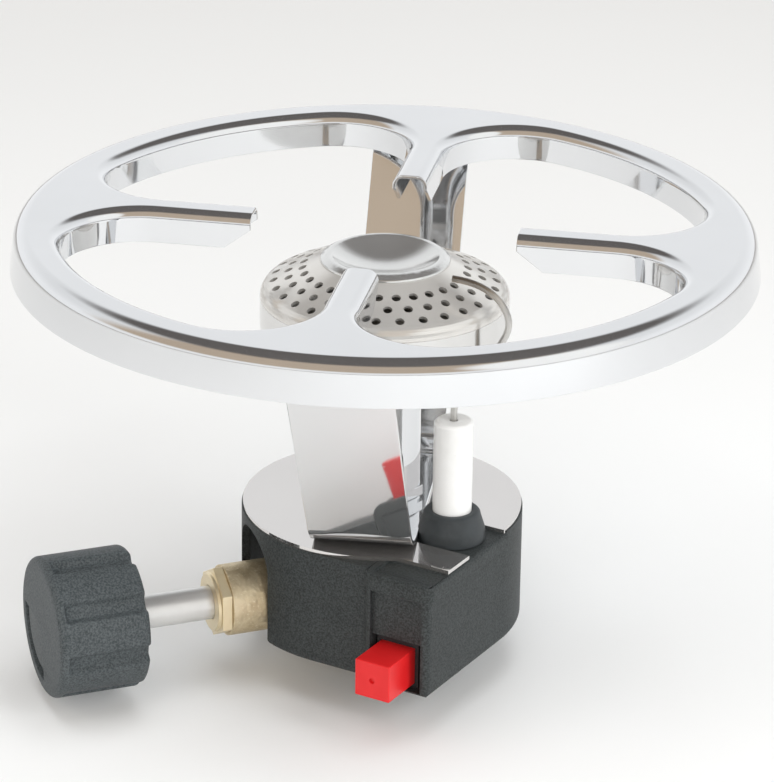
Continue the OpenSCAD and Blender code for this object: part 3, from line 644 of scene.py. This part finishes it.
KNOB_R = 18.75 * MM
KNOB_BACK = 70.5 * MM
KNOB_LEN = 24.5 * MM
KNOB_FACE = 4.5 * MM
KNOB_EDGE = 1.8 * MM
KNOB_RIM = 2 * MM
KNOB_EASE = 0.15 * MM
SHELL_R = 14.55 * MM
HUB_R = 7.5 * MM
BORE_R = 4.55 * MM
BORE_END = 5 * MM
LOBES = 8
GROOVE_TURN = math.radians(35)
GROOVE_DEPTH = 1.8 * MM
GROOVE_FLAT, GROOVE_HALF = math.radians(4.5), math.radians(9.5)
GROOVE_END = KNOB_LEN - KNOB_RIM
WALL_ROWS = [KNOB_EDGE + step * MM for step in range(2, 19, 2)]
RUN_OUT_ROWS, RUN_OUT_ROW = 5, 0.18 * MM
MARK_R, MARK_W, MARK_DEPTH = 11.6 * MM, 3.4 * MM, 1.2 * MM
MARK_FROM, MARK_TO = math.radians(-94.5), math.radians(4.5)
VALVE_Z = 10 * MM
ROUND_STEPS = 360
EDGE_STEPS = 6


def eased_step(value, low, high):
    """0 below low, 1 above high, and smooth between."""
    part = min(max((value - low) / (high - low), 0), 1)
    return part * part * (3 - 2 * part)


def traced(points):
    """An edge chain through these points, drawn out from one vertex."""
    bpy.ops.object.select_all(action="DESELECT")
    bpy.ops.mesh.primitive_plane_add(location=points[0])
    chain = bpy.context.object
    settle(chain)
    mode("EDIT")
    bpy.ops.mesh.select_all(action="SELECT")
    bpy.ops.mesh.merge(type="CENTER")
    for near, far in zip(points, points[1:]):
        draw_out(*(b - a for a, b in zip(near, far)))
    return chain


def revolved(points):
    """A closed skin: the traced section turned once round Z."""
    skin = traced(points)
    bpy.ops.mesh.select_all(action="SELECT")
    swing(ROUND_STEPS, -2 * math.pi)
    bpy.ops.mesh.select_all(action="SELECT")
    bpy.ops.mesh.remove_doubles(threshold=NEAR)
    bpy.ops.mesh.normals_make_consistent(inside=False)
    mode("OBJECT")
    return skin


def quarter_round(x, z, radius, start):
    """Points of a quarter round, from that angle on, anticlockwise in the section."""
    turns = [start + QUARTER_TURN * step / EDGE_STEPS for step in range(EDGE_STEPS + 1)]
    return [(x + radius * math.cos(turn), 0, z + radius * math.sin(turn)) for turn in turns]


def knob_section():
    """Half section of the knob: bore, hub, hollow, wall with rows for the grooves, and face."""
    wall = KNOB_R - KNOB_EDGE
    hollow = KNOB_LEN - KNOB_FACE
    bore = KNOB_LEN - BORE_END
    run_out = [GROOVE_END - step * RUN_OUT_ROW for step in range(RUN_OUT_ROWS, -1, -1)]
    return (
        [(0, 0, bore), (BORE_R, 0, bore), (BORE_R, 0, 0), (HUB_R, 0, 0)]
        + [(HUB_R, 0, hollow), (SHELL_R, 0, hollow), (SHELL_R, 0, 0)]
        + quarter_round(wall, KNOB_EDGE, KNOB_EDGE, -QUARTER_TURN)
        + [(KNOB_R, 0, row) for row in WALL_ROWS + run_out]
        + quarter_round(wall, KNOB_LEN - KNOB_EDGE, KNOB_EDGE, 0)
        + [(MARK_R + MARK_W, 0, KNOB_LEN), (MARK_R, 0, KNOB_LEN), (0, 0, KNOB_LEN)]
    )


def press_grooves(knob):
    """Sinks the soft grooves into the outer wall, and lets them run out behind the front rim."""
    pitch = 2 * math.pi / LOBES
    run_out = GROOVE_END - RUN_OUT_ROWS * RUN_OUT_ROW
    for vertex in knob.data.vertices:
        radius = math.hypot(vertex.co.x, vertex.co.y)
        if radius > SHELL_R + MM:
            turn = math.atan2(vertex.co.y, vertex.co.x) - GROOVE_TURN
            off = abs((turn + pitch / 2) % pitch - pitch / 2)
            sunk = GROOVE_DEPTH * (1 - eased_step(off, GROOVE_FLAT, GROOVE_HALF))
            sunk *= 1 - eased_step(vertex.co.z, run_out, GROOVE_END)
            vertex.co.x *= 1 - sunk / radius
            vertex.co.y *= 1 - sunk / radius


def lobed_knob():
    """The knob: eight soft lobes, a plain front rim and an arc sunk into the face."""
    knob = revolved(knob_section())
    press_grooves(knob)

    def on_mark(p):
        radius = math.hypot(p.x, p.y)
        inside = MARK_R - NEAR < radius < MARK_R + MARK_W + NEAR
        return inside and p.z > KNOB_LEN - NEAR and MARK_FROM < math.atan2(p.y, p.x) < MARK_TO

    choose(knob, on_mark)
    bpy.ops.mesh.select_mode(type="FACE")
    draw_out(0, 0, -MARK_DEPTH)
    apply(knob, "BEVEL", width=KNOB_EASE, segments=2, limit_method="ANGLE", angle_limit=SHARP)
    smooth(knob, CRISP)
    across = Vector((-math.sin(VALVE_TURN), math.cos(VALVE_TURN), 0))
    along = Vector((math.cos(VALVE_TURN), math.sin(VALVE_TURN), 0))
    turned = Matrix((Vector((0, 0, -1)), across, along)).transposed().to_4x4()
    turned.translation = along * KNOB_BACK + Vector((0, 0, VALVE_Z))
    knob.matrix_world = turned
    settle(knob)
    stand_for(knob, "knob")


pressed_ring()
lobed_knob()
for name, width in EASED.items():
    eased(name, width)
square_button()
for name in ("return_spring", "hammer_spring"):
    squeezed(name)

FLOOR_SIZE, FLOOR_Z = 12, -12.5 * MM
LAMP_TINT = (0.97, 0.985, 1.0)
LAMP_AIM = Vector((0, 0, 0.06))
SOFTBOXES = {  # place, size in metres and watts
    "overhead": ((0.1, -0.1, 1.3), (1.2, 1.2), 11),
    "left": ((-1.2, -0.7, 0.7), (0.8, 0.9), 3),
    "right": ((1.2, -0.6, 0.8), (0.5, 0.9), 6.5),
    "front": ((0.3, -1.5, 0.6), (1.6, 0.7), 8.5),
}
WALL_LOW, WALL_HIGH = rgb(1.02, 1.03, 1.04), rgb(0.86, 0.87, 0.88)
ROOM_LOW, ROOM_HIGH = rgb(0.98, 0.98, 0.98), rgb(0.50, 0.395, 0.29)
WINDOW_LIGHT = rgb(1.1, 1.1, 1.08)
CEILING = rgb(0.06, 0.05, 0.045)


def pale_floor():
    """A wide pale floor under the burner."""
    f = Finish("pale_floor", Specular_IOR_Level=0.2)
    cloud = f.noise(300)
    f.feed("Base Color", f.mix(cloud, rgb(0.87, 0.88, 0.88), rgb(0.90, 0.91, 0.91)))
    f.feed("Roughness", 0.7 + cloud * 0.1)
    bpy.ops.object.select_all(action="DESELECT")
    bpy.ops.mesh.primitive_plane_add(size=FLOOR_SIZE, location=(0, 0, FLOOR_Z))
    floor = bpy.context.object
    floor.name = "pale_floor"
    floor.data.materials.append(f.material)


class Surroundings(Finish):
    """What the plating mirrors: a Background shader fed by the direction looked in."""

    def __init__(self, name):
        world = bpy.data.worlds.new(name)
        bpy.context.scene.world = world
        self._start(world, "ShaderNodeBackground", "ShaderNodeOutputWorld")


def softbox(name, place, size, power):
    """An area lamp aimed at the burner, kept out of the mirrors."""
    data = bpy.data.lights.new(name, "AREA")
    data.shape = "RECTANGLE"
    data.size, data.size_y = size
    data.energy = power
    data.color = LAMP_TINT
    lamp = bpy.data.objects.new(name, data)
    bpy.context.scene.collection.objects.link(lamp)
    lamp.location = place
    lamp.rotation_euler = (LAMP_AIM - Vector(place)).to_track_quat("-Z", "Y").to_euler()
    lamp.visible_glossy = False


def studio():
    """White wall behind, tan room in front with a bright window, a dark ceiling and the lamps."""
    f = Surroundings("studio")
    way = f.add("ShaderNodeTexCoord", out="Generated")
    x, y, z = (f.add("ShaderNodeSeparateXYZ", None, {0: way}, out=axis) for axis in range(3))
    wall = f.mix(f.band(z, 0.15, 0.6), WALL_LOW, WALL_HIGH)
    room = f.mix(f.band(z, 0.14, 0.3), ROOM_LOW, ROOM_HIGH)
    view = f.mix(f.band(y, -0.3, 0.1), room, wall)
    window = x * 0.82 + y * -0.4 + z * 0.45
    view = f.mix(f.band(window, 0.88, 0.96), view, WINDOW_LIGHT)
    view = f.mix(f.band(z + y * 0.2, 0.66, 0.84), view, CEILING)
    f.feed("Color", view)
    for name, lamp in SOFTBOXES.items():
        softbox(name, *lamp)
    bpy.context.scene.view_settings.view_transform = "Standard"


PHOTO_HEIGHT = 782
FOCAL_PIXELS = 3962
SHIFT_PIXELS = 3.37, -0.26
SENSOR = 36
AZIMUTH, ELEVATION, ROLL = math.radians(10.3), math.radians(22.93), math.radians(0.777)
DISTANCE = 1.046
TARGET = Vector((0, 0, 0.06407))


def photo_camera():
    """Camera at the photograph's place, with its slight roll and framing."""
    level = math.cos(ELEVATION)
    offset = Vector((math.sin(AZIMUTH) * level, -math.cos(AZIMUTH) * level, math.sin(ELEVATION)))
    data = bpy.data.cameras.new("photo_camera")
    data.sensor_fit = "VERTICAL"
    data.sensor_height = SENSOR
    data.lens = FOCAL_PIXELS / PHOTO_HEIGHT * SENSOR
    data.shift_x, data.shift_y = (shift / PHOTO_HEIGHT for shift in SHIFT_PIXELS)
    camera = bpy.data.objects.new("photo_camera", data)
    bpy.context.scene.collection.objects.link(camera)
    camera.location = TARGET + offset * DISTANCE
    turn = (-offset).to_track_quat("-Z", "Y").to_matrix() @ Matrix.Rotation(ROLL, 3, "Z")
    camera.rotation_euler = turn.to_euler()
    bpy.context.scene.camera = camera


pale_floor()
studio()
photo_camera()
